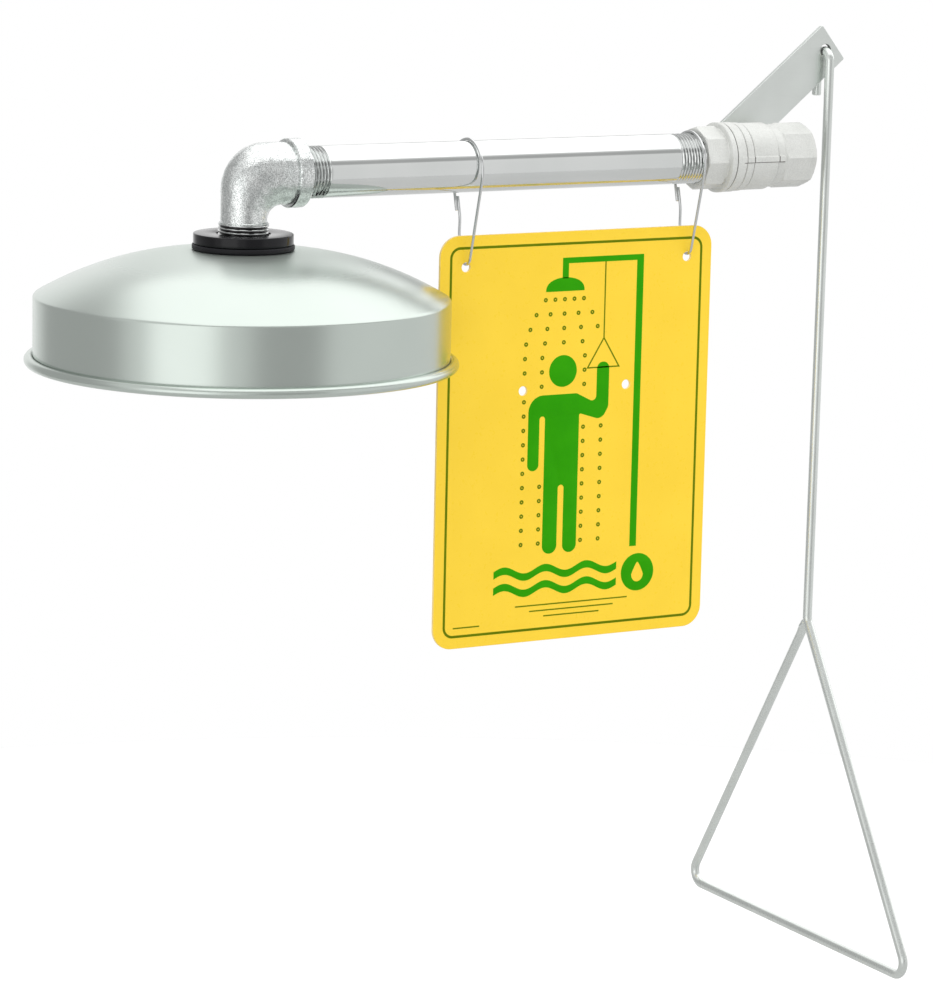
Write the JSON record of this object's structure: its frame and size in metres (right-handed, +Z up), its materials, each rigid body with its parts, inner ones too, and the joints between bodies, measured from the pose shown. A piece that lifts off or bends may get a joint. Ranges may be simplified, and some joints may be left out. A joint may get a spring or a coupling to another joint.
{
  "type": "emergency safety shower",
  "caption": "Horizontal pipe arm with a bell shower head, stay-open ball valve, lever with hooked pull rod and triangular handle, and a hanging pictogram sign.",
  "frame": {"origin": "centre of the valve's supply inlet, in the plane of its end face, on the pipe axis", "axes": "+Z up, +X along the pipe axis out of the supply inlet towards the water supply, so the arm and head lie along -X; the lever and rod are on the +Y side"},
  "size_m": [0.6132, 0.306, 0.6418],
  "materials": {
    "stainless_head": "satin brushed stainless sheet",
    "stainless_rod": "satin stainless rod",
    "stainless_lever": "satin rolled stainless flat bar",
    "stainless_small": "machined stainless",
    "galvanised_iron": "galvanised malleable iron, rough cast skin",
    "zinc_pipe": "bright zinc plated steel pipe",
    "nickel_brass": "matte nickel plate on forged brass",
    "chrome_wire": "bright plated wire",
    "black_plastic": "glossy black moulded plastic",
    "black_rubber": "textured black rubber",
    "white_plastic": "white moulded plastic",
    "ptfe": "white PTFE",
    "sign_yellow": "yellow printed rigid plastic"
  },
  "bodies": {
    "fixed_plumbing": {"shower_head": "stainless_head", "inlet_adapter": "black_plastic", "head_gasket": "black_rubber", "inner_washer": "black_rubber", "retaining_flange": "white_plastic", "flow_control": "white_plastic", "spreader_plate": "stainless_small", "street_elbow": "galvanised_iron", "pipe_nipple": "zinc_pipe", "valve_end_cap": "nickel_brass", "valve_body": "nickel_brass", "body_seal": "ptfe", "valve_seat_inlet": "ptfe", "valve_seat_outlet": "ptfe", "thrust_washer": "ptfe", "stem_packing": "ptfe", "packing_nut": "nickel_brass", "spreader_spacer_1": "stainless_small", "spreader_screw_1": "stainless_small", "spreader_spacer_2": "stainless_small", "spreader_screw_2": "stainless_small", "spreader_spacer_3": "stainless_small", "spreader_screw_3": "stainless_small"},
    "lever": {"lever_plate": "stainless_lever", "valve_stem": "stainless_small", "valve_ball": "chrome_wire", "lever_lock_washer": "stainless_small", "lever_nut": "stainless_small"},
    "pull_rod": {"pull_rod": "stainless_rod"},
    "sign_hooks": {"sign_hook_head_side": "chrome_wire", "sign_hook_valve_side": "chrome_wire"},
    "sign": {"sign_plate": "sign_yellow"}
  },
  "joints": [
    {"name": "lever_turn", "type": "hinge", "parent": "fixed_plumbing", "child": "lever", "pos_m": [-0.0412, 0.036, 0], "axis": [0, 1, 0], "range_deg": [0, 90]},
    {"name": "pull_rod_hang", "type": "hinge", "parent": "lever", "child": "pull_rod", "pos_m": [0.04118, 0.036, 0.06631], "axis": [0, 1, 0], "range_deg": [-90, 0]},
    {"name": "hooks_swing", "type": "hinge", "parent": "fixed_plumbing", "child": "sign_hooks", "pos_m": [-0.1733, 0, 0], "axis": [1, 0, 0], "range_deg": [-25, 25]},
    {"name": "sign_swing", "type": "hinge", "parent": "sign_hooks", "child": "sign", "pos_m": [-0.1733, 0, -0.06385], "axis": [1, 0, 0], "range_deg": [-12, 12]}
  ],
  "couplings": [
    {"joint": "pull_rod_hang", "follows": "lever_turn", "ratio": -1}
  ]
}
